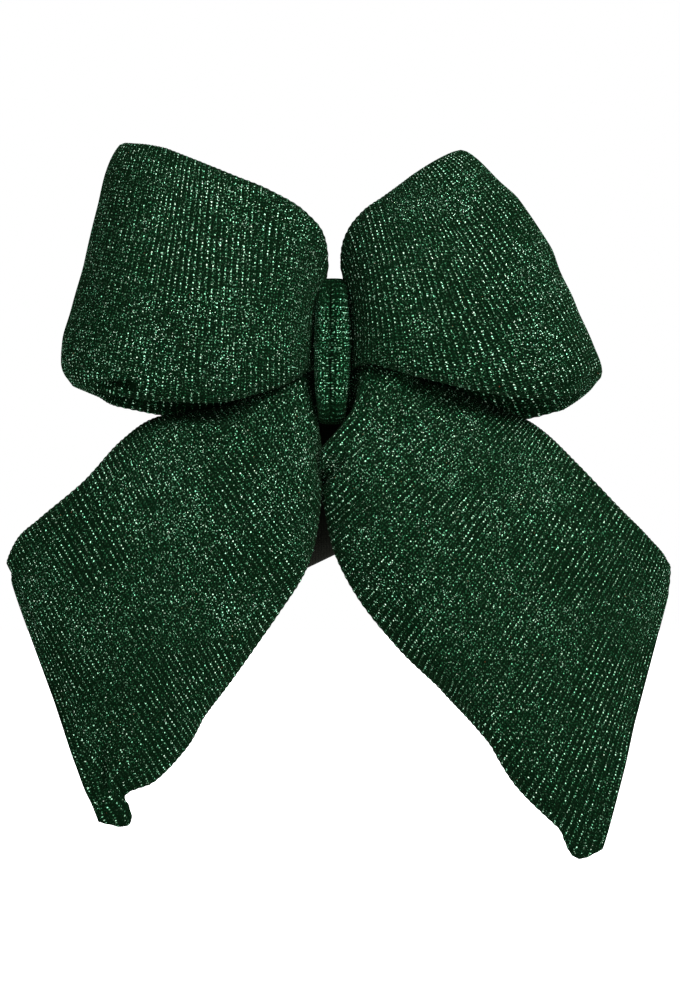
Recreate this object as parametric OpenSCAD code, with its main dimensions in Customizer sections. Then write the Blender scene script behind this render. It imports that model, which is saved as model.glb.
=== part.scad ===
// Pre-made padded gift bow: two stuffed loops, two stuffed tails, a knot wrap and a hanging strap.
// +Z is up, +X is to the viewer's right and the bow faces -Y. The origin is on the back of the knot.

/* [Loops] */
// Thickness of one stuffed layer of a loop
loop_layer_t = 26; // [20:1:27]
// Radius of the loop's outer fold, at the middle of the layer
fold_r = 15; // [14.5:0.5:16]
// Depth from the back plane to the middle of the front layer
front_layer_y = 46; // [45:1:48]

/* [Tails] */
// Thickness of a tail at its fullest
tail_t = 28; // [20:1:30]
// Depth from the back plane to the middle of a tail
tail_y = 30; // [28:1:31]

/* [Fabric] */
// Thickness of the knitted cover
cover_t = 1.2; // [1:0.1:1.4]
// Clearance between a cover and its filling
fill_gap = 0.3; // [0.2:0.1:0.4]
// Roundness of a stuffed section, from 0.6 for boxy to 1 for oval
fullness = 0.75; // [0.6:0.05:1]

/* [Knot] */
// Height of the top of the knot wrap above the origin
knot_top = 30; // [29:0.5:31]
// Depth of the bottom of the knot wrap below the origin
knot_bottom = 31; // [30:0.5:31.5]
// Depth of the front of the knot wrap from the back plane
knot_front = 48; // [46:0.5:50]
// Thickness of the knot wrap round the necks
wrap_t = 3.3; // [2.5:0.1:3.5]
// Diameter of the cinch thread
thread_d = 1.2; // [0.8:0.1:1.4]

/* [Strap] */
// Width of the hanging strap
strap_w = 24; // [18:1:24]
// Thickness of the strap's elastic
strap_t = 0.8; // [0.6:0.1:0.9]
// Length of the strap's left edge below the sewn end
strap_left_len = 69; // [60:1:75]
// Length of the strap's right edge below the sewn end
strap_right_len = 57.5; // [50:1:65]
// Sideways lean of the strap at its lower fold
strap_lean = 7; // [0:1:9]

/* [Hidden] */

knit_green = [0.10, 0.24, 0.14];
fibre_white = [0.93, 0.93, 0.91];
thread_green = [0.06, 0.16, 0.09];
strap_black = [0.06, 0.07, 0.05];

sides = 18;        // points round a stuffed section
fold_steps = 8;    // rings round a loop's outer fold
per_station = 2;   // rings from one outline station to the next
neck_front_y = 33; // depth of a loop's front neck inside the knot
neck_back_y = 13;  // depth of a loop's back neck inside the knot
neck_tail_y = 23;  // depth of a tail's neck inside the knot
neck_h = 2.5;      // half thickness of a gathered neck
end_seam_h = 1.5;  // half thickness of a tail at its sewn end
cinch_gap = 0.5;   // clearance between the cinch thread and the inside of the wrap
wrap_back = 2.2;   // depth of the wrap's back face, which the strap is sewn on
wrap_corner = 10;  // corner radius of the wrap, seen from the side
crease_depth = 4;  // depth of the crease between the wrap's two front folds
past_wrap = 50;    // reach of the shapes that trim the wrap, longer than the wrap itself
stitch_r = 0.4;    // radius of a whip stitch
stitch_len = 5;    // length of a whip stitch
stitch_lean = 75;  // turn of a whip stitch away from upright
stitch_pitch = 3;  // height from one whip stitch to the next
stitch_count = 5;
sewn_top = 8;      // height of the top of the sewn end
sewn_bottom = -25.5;
tack_w = 16;       // length of a bar tack
tack_h = 1.8;      // height of a bar tack
tack_t = 0.6;      // thickness of a bar tack
tack_gap = 0.2;    // clearance between a bar tack and the strap round it
tack_heights = [4, -20];
strap_top = -27.3; // height where the free part of the strap starts

lh = loop_layer_t / 2;
th = tail_t / 2;
fy = front_layer_y;
back_y = front_layer_y - 2 * fold_r;

// Loop outlines from the neck to the fold. Each station is
// [top x, top z, bottom x, bottom z, drop of the back layer's bottom, front depth, back depth, half thickness].
left_loop_outline = [
    [-3, 25, -3, -6, 0, neck_front_y, neck_back_y, neck_h],
    [-9, 28, -9, -7, 0, neck_front_y + 1, neck_back_y, neck_h + 0.7],
    [-13, 50, -12, -9, 0, fy - 7, back_y - 2, lh - 5],
    [-20, 61, -20, -14, 0, fy - 3, back_y - 1, lh - 2],
    [-32, 67.5, -36, -19.5, 0, fy - 1, back_y, lh - 0.5],
    [-50, 77, -60, -22, 1, fy, back_y, lh],
    [-71, 87, -88, -20, 5, fy, back_y, lh]
];
right_loop_outline = [
    [3, 25, 3, -6, 0, neck_front_y, neck_back_y, neck_h],
    [9, 28, 9, -7, 0, neck_front_y + 1, neck_back_y, neck_h + 0.7],
    [12, 49, 13, -7, 0, fy - 7, back_y - 2, lh - 5],
    [18, 59, 22, -8, 0, fy - 3, back_y - 1, lh - 2],
    [25, 66, 40, -13.5, 0, fy - 1, back_y, lh - 0.5],
    [33, 72, 66, -19, 1, fy, back_y, lh],
    [40, 77, 98, -20, 6, fy, back_y, lh]
];

// Tail outlines from the neck to the slanted end. Each station is
// [outer x, outer z, inner x, inner z, depth, half thickness].
left_tail_outline = [
    [-3, -10, -3, -25, neck_tail_y, neck_h],
    [-9, -11.5, -8.5, -28, neck_tail_y + 1, neck_h + 1],
    [-17, -16.5, -8, -44, tail_y - 3, th - 5],
    [-34, -24.5, -8, -67, tail_y - 1, th - 1.5],
    [-60, -28, -14, -94, tail_y, th],
    [-87, -38, -31, -121, tail_y, th],
    [-112, -62, -52, -154, tail_y, th - 1],
    [-130, -79, -74, -181, tail_y, th - 6],
    [-137, -91, -93, -201, tail_y, end_seam_h]
];
right_tail_outline = [
    [3, -10, 3, -25, neck_tail_y, neck_h],
    [9, -11, 8.5, -28, neck_tail_y + 1, neck_h + 1],
    [22, -12.5, 3, -42, tail_y - 3, th - 5],
    [44, -19.5, -3, -67, tail_y - 1, th - 1.5],
    [71, -26, 2, -90, tail_y, th],
    [96, -40, 20, -116, tail_y, th],
    [118, -64, 46, -145, tail_y, th - 1],
    [135, -84, 76, -183, tail_y, th - 6],
    [142, -98, 108, -215, tail_y, end_seam_h]
];

// Half width of the knot wrap at each height, from the bottom up.
wrap_widths = [[-knot_bottom, 5.2], [-20, 6.8], [-3, 7.8], [16, 6.8], [knot_top, 4.5]];

// Side view of the strap's loop from the sewn end and back: [depth, share of its length].
strap_route = [
    [1.5, 0], [1.6, 0.09], [3.4, 0.3], [6.6, 0.58], [8.4, 0.82], [7, 0.95], [4.4, 1],
    [1.8, 0.94], [0.6, 0.8], [0.5, 0.45], [0.5, 0]
];

// A smooth curve through the rows of a table, at row number u.
function spline(rows, u) =
    let (
        n = len(rows) - 1,
        i = min(floor(u), n - 1),
        t = u - i,
        a = rows[max(i - 1, 0)],
        b = rows[i],
        c = rows[i + 1],
        d = rows[min(i + 2, n)]
    )
    0.5 * (2 * b + (c - a) * t + (2 * a - 5 * b + 4 * c - d) * t * t + (3 * b - a - 3 * c + d) * t * t * t);

function puffed(s) = sign(s) * pow(abs(s), fullness);

// One stuffed section: frame is [one edge, other edge, outward direction, half thickness].
function section(frame, inset) =
    let (
        middle = (frame[0] + frame[1]) / 2,
        half = (frame[0] - frame[1]) / 2,
        reach = half * (1 - inset / norm(half)),
        h = frame[3] - inset
    )
    [for (i = [0 : sides - 1]) middle + reach * cos(360 * i / sides) + frame[2] * h * puffed(sin(360 * i / sides))];

// The way a loop's band turns at its outer fold, square to the fold line.
function fold_out(r, side) =
    let (d = [r[2] - r[0], r[3] - r[1]])
    side * [-d[1], 0, d[0]] / norm(d);

function loop_layer(r, front) =
    let (y = front ? -r[5] : -r[6], drop = front ? 0 : r[4])
    [[r[0], y, r[1]], [r[2], y, r[3] - drop], [0, front ? -1 : 1, 0], r[7]];

function loop_fold(r, out, turn) =
    let (
        shift = out * fold_r * sin(turn) + [0, fold_r - fy - fold_r * cos(turn), 0],
        drop = r[4] * turn / 180
    )
    [[r[0], 0, r[1]] + shift, [r[2], 0, r[3] - drop] + shift, out * sin(turn) + [0, -cos(turn), 0], r[7]];

// Every section frame of a loop: out along the front layer, round the fold and back.
function loop_frames(rows, side) =
    let (
        n = (len(rows) - 1) * per_station,
        last = rows[len(rows) - 1],
        out = fold_out(last, side)
    )
    concat(
        [for (k = [0 : n]) loop_layer(spline(rows, k / per_station), true)],
        [for (k = [1 : fold_steps - 1]) loop_fold(last, out, 180 * k / fold_steps)],
        [for (k = [n : -1 : 0]) loop_layer(spline(rows, k / per_station), false)]
    );

function tail_frames(rows) =
    let (n = (len(rows) - 1) * per_station)
    [
        for (k = [0 : n])
            let (r = spline(rows, k / per_station))
            [[r[0], -r[4], r[1]], [r[2], -r[4], r[3]], [0, -1, 0], r[5]]
    ];

function slice(list, from, to) = [for (i = [from : to]) list[i]];
function turned(face, flip) = flip ? [face[2], face[1], face[0]] : face;
function flat(lists) = [for (l = lists) for (item = l) item];

// Side triangles of a stack of rings with m points each, from point number start.
function skin(count, m, start, flip) = [
    for (k = [0 : count - 2])
        for (i = [0 : m - 1])
            let (a = start + k * m + i, b = start + k * m + (i + 1) % m)
            for (face = [[a, a + m, b], [b, a + m, b + m]])
                turned(face, flip)
];

// Flat ring of triangles between two rings of m points.
function rim(outer, inner, m, flip) = [
    for (i = [0 : m - 1])
        let (j = (i + 1) % m)
        for (face = [[outer + i, outer + j, inner + i], [inner + i, outer + j, inner + j]])
            turned(face, flip)
];

function lid(start, m, flip) = [flip ? [for (i = [0 : m - 1]) start + i] : [for (i = [m - 1 : -1 : 0]) start + i]];

// A solid through a stack of rings, closed at both ends.
module stack(rings, flip = false) {
    m = len(rings[0]);
    last = (len(rings) - 1) * m;
    polyhedron(
        points = flat(rings),
        faces = concat(skin(len(rings), m, 0, flip), lid(0, m, !flip), lid(last, m, flip))
    );
}

// A cover: a hollow stack, open at the neck, and at its far end too when it is a loop.
module cover(frames, flip, closed_end) {
    outer = [for (f = frames) section(f, 0)];
    kept = closed_end ? slice(frames, 0, len(frames) - 2) : frames;
    inner = [for (f = kept) section(f, cover_t)];
    start = len(outer) * sides;
    outer_last = start - sides;
    inner_last = start + (len(inner) - 1) * sides;
    ends = closed_end
        ? concat(lid(outer_last, sides, flip), lid(inner_last, sides, !flip))
        : rim(outer_last, inner_last, sides, !flip);
    polyhedron(
        points = flat(concat(outer, inner)),
        faces = concat(
            skin(len(outer), sides, 0, flip),
            skin(len(inner), sides, start, !flip),
            rim(0, start, sides, flip),
            ends
        )
    );
}

// A filling: the inside of a cover, clear of its wall, from one ring number to another.
module filling(frames, from, to, flip) {
    stack([for (f = slice(frames, from, to)) section(f, cover_t + fill_gap)], flip);
}

left_loop_frames = loop_frames(left_loop_outline, -1);
right_loop_frames = loop_frames(right_loop_outline, 1);
left_tail_frames = tail_frames(left_tail_outline);
right_tail_frames = tail_frames(right_tail_outline);
fill_from = 3; // first ring past the gathered neck

module left_loop_cover() {
    color(knit_green) cover(left_loop_frames, true, false);
}

module left_loop_filling() {
    color(fibre_white) filling(left_loop_frames, fill_from, len(left_loop_frames) - 1 - fill_from, true);
}

module right_loop_cover() {
    color(knit_green) cover(right_loop_frames, false, false);
}

module right_loop_filling() {
    color(fibre_white) filling(right_loop_frames, fill_from, len(right_loop_frames) - 1 - fill_from, false);
}

module left_tail_cover() {
    color(knit_green) cover(left_tail_frames, true, true);
}

module left_tail_filling() {
    color(fibre_white) filling(left_tail_frames, fill_from, len(left_tail_frames) - 2, true);
}

module right_tail_cover() {
    color(knit_green) cover(right_tail_frames, false, true);
}

module right_tail_filling() {
    color(fibre_white) filling(right_tail_frames, fill_from, len(right_tail_frames) - 2, false);
}

// Corner points of a rounded rectangle from low to high corner, by quarter circles.
function rounded(low, high, r, steps) = [
    for (q = [0 : 3])
        let (
            x = q == 0 || q == 3 ? high[0] - r : low[0] + r,
            y = q < 2 ? high[1] - r : low[1] + r
        )
        for (i = [0 : steps])
            [x, y] + r * [cos(90 * (q + i / steps)), sin(90 * (q + i / steps))]
];

module wrap_ring() {
    rotate([90, 0, 90])
        linear_extrude(past_wrap, center = true)
            difference() {
                polygon(rounded([-knot_front, -knot_bottom], [-wrap_back, knot_top], wrap_corner, 6));
                polygon(rounded(
                    [-knot_front + 2 * wrap_t, -knot_bottom + wrap_t],
                    [-wrap_back - wrap_t, knot_top - wrap_t],
                    wrap_corner - 3, 6
                ));
            }
}

module wrap_silhouette() {
    n = 16;
    edge = [for (k = [0 : n]) spline(wrap_widths, (len(wrap_widths) - 1) * k / n)];
    rotate([90, 0, 0])
        linear_extrude(past_wrap)
            polygon(concat([for (p = edge) [p[1], p[0]]], [for (k = [n : -1 : 0]) [-edge[k][1], edge[k][0]]]));
}

// Plan of the wrap: two soft folds side by side at the front, with the crease between them.
module wrap_folds() {
    w = 8; // width of one fold, a little past the wrap's widest edge
    n = 10;
    front = [
        for (s = [-1, 1])
            for (k = [0 : n])
                let (t = 180 - 180 * k / n)
                [s * w / 2 + w / 2 * cos(t), crease_depth - knot_front - crease_depth * sin(t)]
    ];
    linear_extrude(2 * past_wrap, center = true)
        polygon(concat(front, [[w, 0], [-w, 0]]));
}

module knot_wrap() {
    color(knit_green)
        intersection() {
            wrap_ring();
            wrap_silhouette();
            wrap_folds();
        }
}

// Whip stitches that close the wrap's lapped end on its back, above the strap.
module knot_wrap_stitches() {
    lowest = sewn_top + stitch_pitch;
    color(thread_green)
        for (i = [0 : stitch_count - 1])
            translate([0, -wrap_back + stitch_r + 0.05, lowest + stitch_pitch * i])
                rotate([0, stitch_lean, 0])
                    cylinder(h = stitch_len, r = stitch_r, center = true, $fn = 24);
}

// One turn of thread round the necks: rings along a rounded rectangle in the YZ plane.
module thread_turn(x) {
    r = thread_d / 2;
    path = rounded(
        [-knot_front + 2 * wrap_t + cinch_gap + r, -knot_bottom + wrap_t + cinch_gap + r],
        [-wrap_back - wrap_t - cinch_gap - r, knot_top - wrap_t - cinch_gap - r],
        5, 5
    );
    n = len(path);
    m = 8;
    rings = [
        for (k = [0 : n - 1])
            let (
                d = path[(k + 1) % n] - path[(k + n - 1) % n],
                out = [0, d[1], -d[0]] / norm(d)
            )
            [for (i = [0 : m - 1])
                [x, path[k][0], path[k][1]] + r * (out * cos(360 * i / m) + [sin(360 * i / m), 0, 0])]
    ];
    closing = [
        for (i = [0 : m - 1])
            let (a = (n - 1) * m + i, b = (n - 1) * m + (i + 1) % m, c = i, d = (i + 1) % m)
            for (face = [[a, c, b], [b, c, d]])
                face
    ];
    polyhedron(points = flat(rings), faces = concat(skin(n, m, 0, false), closing));
}

module cinch_thread() {
    color(thread_green)
        for (x = [-2, 0, 2])
            thread_turn(x);
}

// Both ends of the strap, laid on the back of the knot wrap and sewn down.
module strap_sewn_end() {
    color(strap_black)
        difference() {
            translate([-strap_w / 2, -wrap_back, sewn_bottom])
                cube([strap_w, wrap_back, sewn_top - sewn_bottom]);
            for (z = tack_heights)
                translate([-tack_w / 2 - tack_gap, -tack_t - tack_gap, z - tack_h / 2 - tack_gap])
                    cube([tack_w + 2 * tack_gap, tack_t + 1, tack_h + 2 * tack_gap]);
        }
}

module strap_bar_tacks() {
    color(thread_green)
        for (z = tack_heights)
            translate([-tack_w / 2, -tack_t - tack_gap / 2, z - tack_h / 2])
                cube([tack_w, tack_t, tack_h]);
}

// The free loop of the strap: one flat band that hangs down, folds over and comes back up.
module hanging_strap() {
    n = (len(strap_route) - 1) * 3;
    route = [for (k = [0 : n]) spline(strap_route, k / 3)];
    len_mid = (strap_left_len + strap_right_len) / 2;
    rings = [
        for (k = [0 : n])
            let (
                a = route[max(k - 1, 0)],
                b = route[min(k + 1, n)],
                d = [-(b[0] - a[0]), -(b[1] - a[1]) * len_mid],
                out = [0, d[1], -d[0]] / norm(d) * strap_t / 2,
                y = -route[k][0],
                x = -strap_lean * route[k][1],
                left = [x - strap_w / 2, y, strap_top - strap_left_len * route[k][1]],
                right = [x + strap_w / 2, y, strap_top - strap_right_len * route[k][1]]
            )
            [left + out, right + out, right - out, left - out]
    ];
    color(strap_black) stack(rings, true);
}

left_loop_cover();
left_loop_filling();
right_loop_cover();
right_loop_filling();
left_tail_cover();
left_tail_filling();
right_tail_cover();
right_tail_filling();
knot_wrap();
knot_wrap_stitches();
cinch_thread();
strap_sewn_end();
strap_bar_tacks();
hanging_strap();
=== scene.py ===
import math

import bpy
import numpy as np
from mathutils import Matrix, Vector


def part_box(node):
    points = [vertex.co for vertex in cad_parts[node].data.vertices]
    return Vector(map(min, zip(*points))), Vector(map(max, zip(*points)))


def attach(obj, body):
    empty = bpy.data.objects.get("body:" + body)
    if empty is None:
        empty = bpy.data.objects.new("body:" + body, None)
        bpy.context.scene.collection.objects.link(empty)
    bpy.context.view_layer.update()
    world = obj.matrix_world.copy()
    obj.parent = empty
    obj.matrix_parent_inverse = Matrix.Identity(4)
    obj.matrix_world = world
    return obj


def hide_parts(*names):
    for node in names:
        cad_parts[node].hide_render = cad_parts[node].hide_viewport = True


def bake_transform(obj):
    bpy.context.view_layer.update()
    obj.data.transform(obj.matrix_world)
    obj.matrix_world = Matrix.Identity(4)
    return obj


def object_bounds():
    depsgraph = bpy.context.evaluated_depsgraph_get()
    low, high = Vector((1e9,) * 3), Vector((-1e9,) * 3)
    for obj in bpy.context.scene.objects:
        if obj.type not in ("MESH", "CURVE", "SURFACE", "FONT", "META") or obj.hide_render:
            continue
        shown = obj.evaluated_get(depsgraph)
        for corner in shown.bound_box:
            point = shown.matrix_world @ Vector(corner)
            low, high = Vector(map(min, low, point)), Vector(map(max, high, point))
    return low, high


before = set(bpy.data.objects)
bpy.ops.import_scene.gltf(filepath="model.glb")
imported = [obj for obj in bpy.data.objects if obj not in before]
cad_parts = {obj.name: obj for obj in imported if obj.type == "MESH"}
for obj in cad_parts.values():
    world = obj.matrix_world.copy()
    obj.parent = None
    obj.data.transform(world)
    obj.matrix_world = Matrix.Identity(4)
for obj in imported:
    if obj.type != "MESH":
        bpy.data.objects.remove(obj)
cad_low, cad_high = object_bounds()
bpy.ops.object.select_all(action="DESELECT")

# Every size below is in the bow's own millimetres. The frame is 279 of them wide.
BOW_WIDTH = 279.0
MM = (cad_high.x - cad_low.x) / BOW_WIDTH

RIB = 2.6           # width of one rib of the knit
STITCH = 1.4        # length of one stitch along a rib
RIB_HEIGHT = 0.26   # how far a rib stands out of the cloth
RINGS_PER_RIB = 5
WALL = 1.0          # thickness of the knitted cover
FULLNESS = 0.75     # roundness of a stuffed section across its thickness, 1 for an oval
EDGE_FULLNESS = 0.86  # the same across its width
FOLD_RADIUS = 15      # of the middle of a loop's cloth where it folds back
FRONT = np.array([0.0, -1.0, 0.0])


# ---------------------------------------------------------------- smooth curves


def unit(vectors):
    """The same vectors, one long."""
    return vectors / np.maximum(np.linalg.norm(vectors, axis=-1, keepdims=True), 1e-9)


def distances(points):
    """How far along a line each of its points is."""
    return np.concatenate([[0], np.cumsum(np.linalg.norm(np.diff(points, axis=0), axis=1))])


def smooth_rows(rows, step=1.0):
    """A smooth curve through given rows, with a row about every step millimetres."""
    rows = np.array(rows, float)
    middle = np.column_stack([(rows[:, 0] + rows[:, 2]) / 2, rows[:, 4], (rows[:, 1] + rows[:, 3]) / 2])
    reach = distances(middle)
    slope = np.gradient(rows, reach, axis=0)
    at = np.linspace(0, reach[-1], int(reach[-1] / step) + 1)
    i = np.clip(np.searchsorted(reach, at, side="right") - 1, 0, len(rows) - 2)
    gap = (reach[i + 1] - reach[i])[:, None]
    t = (at - reach[i])[:, None] / gap
    rise = (2 * t**3 - 3 * t**2 + 1) * rows[i] + (3 * t**2 - 2 * t**3) * rows[i + 1]
    return rise + (t**3 - 2 * t**2 + t) * gap * slope[i] + (t**3 - t**2) * gap * slope[i + 1]


def stretched(values, count, closed=False):
    """Values along the first axis, smoothly resampled to count of them."""
    n = len(values)
    at = np.linspace(0, n if closed else n - 1, count, endpoint=not closed)
    i = np.floor(at).astype(int)
    t = (at - i).reshape(-1, *[1] * (values.ndim - 1))
    a, b, c, d = (values[(i + k) % n if closed else np.clip(i + k, 0, n - 1)] for k in (-1, 0, 1, 2))
    return 0.5 * (2 * b + (c - a) * t + (2 * a - 5 * b + 4 * c - d) * t**2 + (3 * b - a - 3 * c + d) * t**3)


# ---------------------------------------------------------------- stuffed parts


class Pad:
    """A stuffed part as one section after another. Each section lies between two edge points."""

    def __init__(self, top, bottom, out, ahead, half, bow):
        self.courses = [np.array(c, float) for c in (top, bottom, out, ahead, half, bow)]

    def at(self, spots):
        """The sections at these places, which are counted in sections."""
        whole = np.arange(len(self.courses[0]))
        found = []
        for course in self.courses:
            flat = course.reshape(len(course), -1)
            found.append(np.column_stack([np.interp(spots, whole, c) for c in flat.T]))
        top, bottom, out, ahead, half, bow = found
        return top, bottom, unit(out), unit(ahead), half, bow

    def spots(self, step):
        """Places a step apart along the middle of the outer face."""
        top, bottom, out, _, half, _ = self.at(np.arange(len(self.courses[0])))
        reach = distances((top + bottom) / 2 + out * half)
        return np.interp(np.arange(0, reach[-1], step), reach, np.arange(len(reach)))

    def surface(self, spots, sides, inset=0.0):
        """Points round each section, evenly spaced, from the middle of the inner face and back to it."""
        top, bottom, out, ahead, half, bow = (c[:, None] for c in self.at(spots))
        middle, arm = (top + bottom) / 2, (top - bottom) / 2
        reach = np.maximum(np.linalg.norm(arm, axis=-1, keepdims=True), 1e-6)
        arm = arm * np.maximum(1 - inset / reach, 0.05)
        half = np.maximum(half - inset, 0.25)

        def ring(turn):
            c, s = np.cos(turn)[..., None], np.sin(turn)[..., None]
            puffed = np.sign(s) * np.abs(s) ** FULLNESS
            wide = np.sign(c) * np.abs(c) ** EDGE_FULLNESS
            return middle + arm * wide + out * half * puffed + ahead * bow * s * s

        fine = np.linspace(-math.pi / 2, 1.5 * math.pi, 6 * sides + 1)
        dense = ring(fine[None, :])
        steps = np.linalg.norm(np.diff(dense, axis=1), axis=2)
        turns = []
        for gaps in steps:
            reach_round = np.concatenate([[0], np.cumsum(gaps)])
            even = np.linspace(0, reach_round[-1], sides, endpoint=False)
            turns.append(np.interp(even, reach_round, fine))
        return ring(np.array(turns)), steps.sum(axis=1)


def edge_points(rows, depth, drop=0.0):
    """The two edges of a run of sections, at a depth behind the front."""
    top = np.column_stack([rows[:, 0], -depth, rows[:, 1]])
    bottom = np.column_stack([rows[:, 2], -depth, rows[:, 3] - drop])
    return top, bottom


def loop_pad(rows, side, fold_radius):
    """A loop: a band that runs out from the knot at the front, folds over and runs back behind.
    Each row is [top x, top z, bottom x, bottom z, front depth, half thickness, bow, back depth, drop]."""
    run = smooth_rows(rows)
    half, bow = run[:, 5], run[:, 6]
    last = run[-1]
    slope = np.array([last[2] - last[0], 0, last[3] - last[1]])
    outward = side * unit(np.array([-slope[2], 0, slope[0]]))
    ahead = np.tile([side, 0.0, 0.0], (len(run), 1))

    front_top, front_bottom = edge_points(run, run[:, 4])
    back_top, back_bottom = edge_points(run[::-1], run[::-1, 7], run[::-1, 8])
    turn = np.radians(np.arange(4, 180, 4))[:, None]
    centre = np.array([0, fold_radius - last[4], 0])
    shift = centre + fold_radius * (outward * np.sin(turn) + FRONT * np.cos(turn))
    fold_top = np.array([last[0], 0, last[1]]) + shift
    sink = last[8] * (1 - np.cos(turn)) / 2 * np.array([0, 0, 1.0])
    fold_bottom = np.array([last[2], 0, last[3]]) + shift - sink
    fold_out = outward * np.sin(turn) + FRONT * np.cos(turn)
    n = len(fold_top)
    return Pad(
        np.vstack([front_top, fold_top, back_top]),
        np.vstack([front_bottom, fold_bottom, back_bottom]),
        np.vstack([np.tile(FRONT, (len(run), 1)), fold_out, np.tile(-FRONT, (len(run), 1))]),
        np.vstack([ahead, np.tile(outward, (n, 1)), ahead]),
        np.concatenate([half, np.full(n, half[-1]), half[::-1]]),
        np.concatenate([bow, np.full(n, bow[-1]), bow[::-1]]),
    )


def tail_pad(rows):
    """A tail: a band that runs down from the knot to its slanted end.
    Each row is [outer x, outer z, inner x, inner z, depth, half thickness, bow]."""
    run = smooth_rows(rows)
    top, bottom = edge_points(run, run[:, 4])
    middle = (top + bottom) / 2
    travel = unit(np.gradient(middle, axis=0) * [1, 0, 1])
    return Pad(top, bottom, np.tile(FRONT, (len(run), 1)), travel, run[:, 5], run[:, 6])


def grid_normals(points):
    """Directions square to a grid of points that closes on itself round each ring, pointing outwards."""
    along = np.gradient(points, axis=0)
    across = np.roll(points, -1, axis=1) - np.roll(points, 1, axis=1)
    normals = unit(np.cross(along, across))
    centre = points.mean(axis=1, keepdims=True)
    outwards = np.sign(((points - centre) * normals).sum(axis=-1).mean())
    return normals * outwards


def closed_faces(rings, sides, first=0):
    """Faces of a tube of rings whose two ends are closed to a middle point each."""
    i, j = np.meshgrid(np.arange(rings - 1), np.arange(sides), indexing="ij")
    i, j = i.ravel(), j.ravel()
    k = (j + 1) % sides
    quads = np.column_stack([i * sides + j, i * sides + k, (i + 1) * sides + k, (i + 1) * sides + j])
    faces = [tuple(q) for q in (quads + first).tolist()]
    start, end = first + rings * sides, first + rings * sides + 1
    last = first + (rings - 1) * sides
    for a in range(sides):
        b = (a + 1) % sides
        faces.append((start, first + b, first + a))
        faces.append((end, last + a, last + b))
    return faces


def with_ends(points):
    """The points of a tube of rings, then the middle of its first ring and of its last."""
    flat = points.reshape(-1, 3)
    return np.vstack([flat, points[0].mean(axis=0), points[-1].mean(axis=0)])


def signed_volume(points, faces):
    total = 0.0
    for face in faces[:: max(1, len(faces) // 4000)]:
        a, b, c = (points[i] for i in face[:3])
        total += float(np.dot(a, np.cross(b, c)))
    return total


def turned_out(points, faces, outwards=True):
    """Faces in the order that points them outwards, or inwards for the inside of a wall."""
    volume = signed_volume(points, faces)
    if (volume > 0) != outwards:
        return [tuple(reversed(face)) for face in faces]
    return faces


def mesh_piece(name, points, faces, knit_map=None):
    """A new piece from points in millimetres.
    knit_map gives each face corner's place in ribs and stitches."""
    mesh = bpy.data.meshes.new(name)
    mesh.from_pydata((points * MM).tolist(), [], faces)
    if knit_map is not None:
        layer = mesh.uv_layers.new(name="Knit")
        layer.data.foreach_set("uv", knit_map.astype(np.float32).ravel())
    mesh.shade_smooth()
    mesh.validate()
    piece = bpy.data.objects.new(name, mesh)
    bpy.context.scene.collection.objects.link(piece)
    return piece


def tube_map(faces, sides, ribs, stitches, rounds):
    """Each face corner's place in the knit. A corner past the seam carries on where the round left off."""
    rings = len(ribs)
    corners = np.array([i for face in faces for i in face])
    sizes = np.array([len(face) for face in faces])
    owner = np.repeat(np.arange(len(faces)), sizes)
    ring = np.clip(corners // sides, 0, rings - 1)
    spot = corners % sides
    past = corners >= rings * sides
    at = stitches[ring, spot]
    most = np.zeros(len(faces))
    np.maximum.at(most, owner, np.where(past, 0, spot))
    wraps = (most[owner] == sides - 1) & (spot == 0) & ~past
    at = at + np.where(wraps, rounds[ring], 0)
    return np.column_stack([ribs[ring], at])


# ---------------------------------------------------------------- stuffing and sculpting


PRESSURE = 4.0
PUFF_FRAMES = 20
PUFF_CAP = 5.0      # furthest that a point of the inflated cloth may move
PUCKER = 1.3        # share of the small puckers that is kept
SWELL = 0.1         # share of the overall swelling that is kept, because the outline is already full
SWELL_BLUR = 5      # times the movement is evened out to part the swelling from the puckers

FIBRE_SIDES = 56    # points round the fibre
FIBRE_DEPTH = 2.6   # how far inside the cover's outer face the fibre lies
FIBRE_LUMP = 0.7    # height of its lumps
FIBRE_LUMP_SIZE = 9.0
FIBRE_NECK = 20     # sections that the fibre leaves empty at a gathered neck
FIBRE_TIP = 14      # and at a tail's sewn end


def blurred(values, times):
    """Values on a closed grid of rings, evened out with their neighbours."""
    for _ in range(times):
        ahead = np.concatenate([values[:1], values, values[-1:]])
        values = (ahead[:-2] + 2 * ahead[1:-1] + ahead[2:]) / 4
        values = (np.roll(values, 1, axis=1) + 2 * values + np.roll(values, -1, axis=1)) / 4
    return values


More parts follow.
